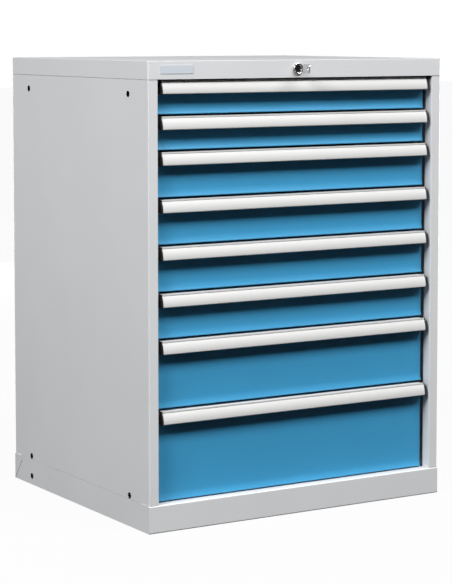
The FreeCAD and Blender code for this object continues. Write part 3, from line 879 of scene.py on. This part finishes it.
for side in (-1, 1):
    face = lock_x + side * key_thickness / 2
    x = (face - groove_cut, face + groove_cut)
    z = sorted((lock_z, lock_z - side * groove_rise))
    grooves.append(block("groove", x, (bow_end + bow_shoulder, tip + bow_shoulder), z))
cut_away(key, ring_hole, *grooves)
round_creases(key, key_edge, crease_angle)
smooth_faces(key)
mount(key, nickel, "key_nickel", "lock_cylinder", "key")

# Top cover. A shallow pan folded from 1 mm sheet over the body's top, with its front side as the
# fascia. Its upper bend is tight, its corners are round, and the lock sits in a hole in the front.
cover_sheet = 0.001
cover_corner = 0.0045
cover_steps = 6
cover_bend = (0.0009, 3)
cover_hole = 0.0097


def rounded_rectangle(low, high, radius, steps):
    """The outline of a rectangle with round corners, given its lowest and highest corner."""
    (left, foot), (right, head) = low, high
    outline = corner(left + radius, foot + radius, radius, 180.0, steps)
    outline += corner(right - radius, foot + radius, radius, 270.0, steps)
    outline += corner(right - radius, head - radius, radius, 0.0, steps)
    return outline + corner(left + radius, head - radius, radius, 90.0, steps)


low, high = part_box("top_cover")
cover_outline = rounded_rectangle((low.x, low.y), (high.x, high.y), cover_corner, cover_steps)
rim = [(x, y, low.z) for x, y in cover_outline]
cover = drawn_bar("cover_pan", rim, (0.0, 0.0, high.z - low.z))
remove_faces(cover, lambda face: face.normal.z < -square_on)
bevel_edges(cover, *cover_bend, lambda a, b: min(a.z, b.z) > high.z - cover_sheet / 4)
finish_with(cover, "SOLIDIFY", thickness=cover_sheet, offset=-1.0, use_even_offset=True)
hole_centre = Vector((lock_x, low.y - 2 * cover_sheet, lock_z))
cut_away(cover, drill("lock_hole", hole_centre, inwards, cover_hole, 4 * cover_sheet))
smooth_faces(cover)
mount(cover, carcass_paint, "carcass_paint", "carcass", "top_cover")

# Hole liners. A black plastic ring is pressed into each of the ten holes in the sides, where
# cabinets are bolted together. The photograph shows the holes black right out to their edges.
liner_profile = (
    (0.0070, 0.0002),
    (0.0068, 0.0000),
    (0.0064, 0.0000),
    (0.0061, 0.0004),
    (0.0061, 0.0022),
    (0.0070, 0.0022),
)
liner_rows = {"body": (0.0676, 0.9295), "plinth": (0.0203,)}
liner_inset = 0.087
liner_proud = 0.0001
low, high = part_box("right_side")
liners = []
for side in (-1, 1):
    into = Vector((-side, 0.0, 0.0))
    face = side * (high.x + liner_proud)
    places = [(y, z) for y in (low.y + liner_inset, high.y - liner_inset) for z in liner_rows["body"]]
    places += [(high.y - liner_inset, z) for z in liner_rows["plinth"]]
    for y, z in places:
        liners.append(turned("hole_liner", Vector((face, y, z)), into, liner_profile, True))
liners = join_pieces(*liners)
smooth_faces(liners)
mount(liners, cap_plastic, "cap_plastic", "carcass")

# Name plate. A small plate of 0.8 mm aluminium with rounded corners, lacquered a pale blue-white,
# left plain, and glued to the left of the cover's front.
plate_colour = (0.56, 0.60, 0.655)
plate_corner = 0.0015
plate_steps = 4
plate_edge = 0.0002
plate_finish = satin_aluminium("satin_plate", plate_colour, roughness=0.5)
low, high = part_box("name_plate")
plate_outline = rounded_rectangle((low.x, low.z), (high.x, high.z), plate_corner, plate_steps)
rim = [(x, low.y, z) for x, z in plate_outline]
plate = drawn_bar("plate_blank", rim, (0.0, high.y - low.y, 0.0))
round_creases(plate, plate_edge, crease_angle)
smooth_faces(plate)
mount(plate, plate_finish, "plate_satin", "carcass", "name_plate")

# Studio. A plain pale floor runs on into a white backdrop, under a wide soft box high in front, one
# on the left, and weaker ones for the right side and the back. The camera and glossy surfaces see
# floor and backdrop pale, but neither gives it much light. Under the cabinet the floor's glow is
# switched off: painted shade for the cabinet's footprint.
floor_size = 60.0
floor_drop = 0.0004
under_cabinet = (0.375, 0.296)
floor_grey = 0.02
floor_glow = {"lit": 0.0, "seen": 0.95, "mirrored": 0.10}
backdrop_glow = {"lit": 0.015, "seen": 1.0, "mirrored": 0.06}


def reckon(tree, operation, *values):
    """The result of a sum on numbers and on what other nodes give."""
    node = tree.nodes.new("ShaderNodeMath")
    node.operation = operation
    for socket, value in zip(node.inputs, values):
        if isinstance(value, float):
            socket.default_value = value
        else:
            tree.links.new(value, socket)
    return node.outputs["Value"]


def set_glow(tree, shader, lit, seen, mirrored):
    """Set how strong a backdrop is as a light, to the camera, and in gloss or through glass."""
    path = tree.nodes.new("ShaderNodeLightPath").outputs
    gloss = reckon(tree, "MAXIMUM", path["Is Glossy Ray"], path["Is Transmission Ray"])
    mirror = reckon(tree, "MULTIPLY_ADD", gloss, mirrored - lit, lit)
    strength = reckon(tree, "MULTIPLY_ADD", path["Is Camera Ray"], seen - lit, mirror)
    tree.links.new(strength, shader.inputs["Strength"])


bpy.ops.object.select_all(action="DESELECT")
bpy.ops.mesh.primitive_plane_add(size=floor_size, location=(0.0, 0.0, -floor_drop))
floor = bpy.context.object
floor.name = "floor"
floor_paint, floor_tree, floor_shader, place = new_finish("pale_floor")
floor_shader.inputs["Base Color"].default_value = (floor_grey, floor_grey, floor_grey, 1.0)
floor_shader.inputs["Roughness"].default_value = 1.0
floor_shader.inputs["Specular IOR Level"].default_value = 0.0
glow = floor_tree.nodes.new("ShaderNodeEmission")
set_glow(floor_tree, glow, **floor_glow)

# The glow is switched off under the cabinet: painted shade for its footprint.
apart = floor_tree.nodes.new("ShaderNodeSeparateXYZ")
floor_tree.links.new(place, apart.inputs["Vector"])
beyond = []
for axis, reach in zip("XY", under_cabinet):
    distance = reckon(floor_tree, "ABSOLUTE", apart.outputs[axis])
    beyond.append(reckon(floor_tree, "GREATER_THAN", distance, reach))
floor_tree.links.new(reckon(floor_tree, "MAXIMUM", *beyond), glow.inputs["Color"])
both = floor_tree.nodes.new("ShaderNodeAddShader")
floor_tree.links.new(floor_shader.outputs["BSDF"], both.inputs[0])
floor_tree.links.new(glow.outputs["Emission"], both.inputs[1])
floor_tree.links.new(both.outputs["Shader"], floor_tree.nodes["Material Output"].inputs["Surface"])
floor.data.materials.append(floor_paint)

world = bpy.data.worlds.new("studio")
bpy.context.scene.world = world
world.use_nodes = True
sky = world.node_tree.nodes["Background"]
sky.inputs["Color"].default_value = (1.0, 1.0, 1.0, 1.0)
set_glow(world.node_tree, sky, **backdrop_glow)


def soft_box(name, place, target, width, height, power):
    """A large lamp behind cloth that points at a place."""
    lamp = bpy.data.lights.new(name, "AREA")
    lamp.shape = "RECTANGLE"
    lamp.size = width
    lamp.size_y = height
    lamp.energy = power
    holder = bpy.data.objects.new(name, lamp)
    bpy.context.scene.collection.objects.link(holder)
    holder.location = place
    holder.rotation_euler = (Vector(target) - Vector(place)).to_track_quat("-Z", "Y").to_euler()
    holder.visible_camera = False


soft_box("front_lamp", (2.9, -4.6, 6.5), (2.9, -0.3, 0.6), width=7.0, height=2.6, power=845.0)
soft_box("left_lamp", (-4.6, -1.75, 3.8), (-4.6, -0.2, 0.6), width=3.4, height=2.2, power=560.0)
soft_box("right_lamp", (4.6, 0.9, 0.55), (0.38, 0.1, 0.5), width=2.4, height=0.9, power=105.0)
soft_box("back_lamp", (0.5, 4.6, 0.55), (0.0, 0.3, 0.5), width=2.4, height=0.9, power=105.0)

# Camera. It stands at the photograph's place, to the left of the cabinet and a little above its top,
# with a long lens and the shift that the photograph's frame needs.
camera_place = (-2.4514, -3.9962, 1.0643)
camera_turn = 31.4690
camera_tilt = -4.8969
camera_data = bpy.data.cameras.new("camera")
camera_data.lens = 125.512
camera_data.sensor_width = 36.0
camera_data.shift_y = -0.15
camera_data.clip_end = 100.0
camera = bpy.data.objects.new("camera", camera_data)
bpy.context.scene.collection.objects.link(camera)
camera.location = camera_place
camera.rotation_euler = (math.radians(90.0 + camera_tilt), 0.0, math.radians(-camera_turn))
bpy.context.scene.camera = camera
bpy.context.scene.view_settings.view_transform = "Standard"
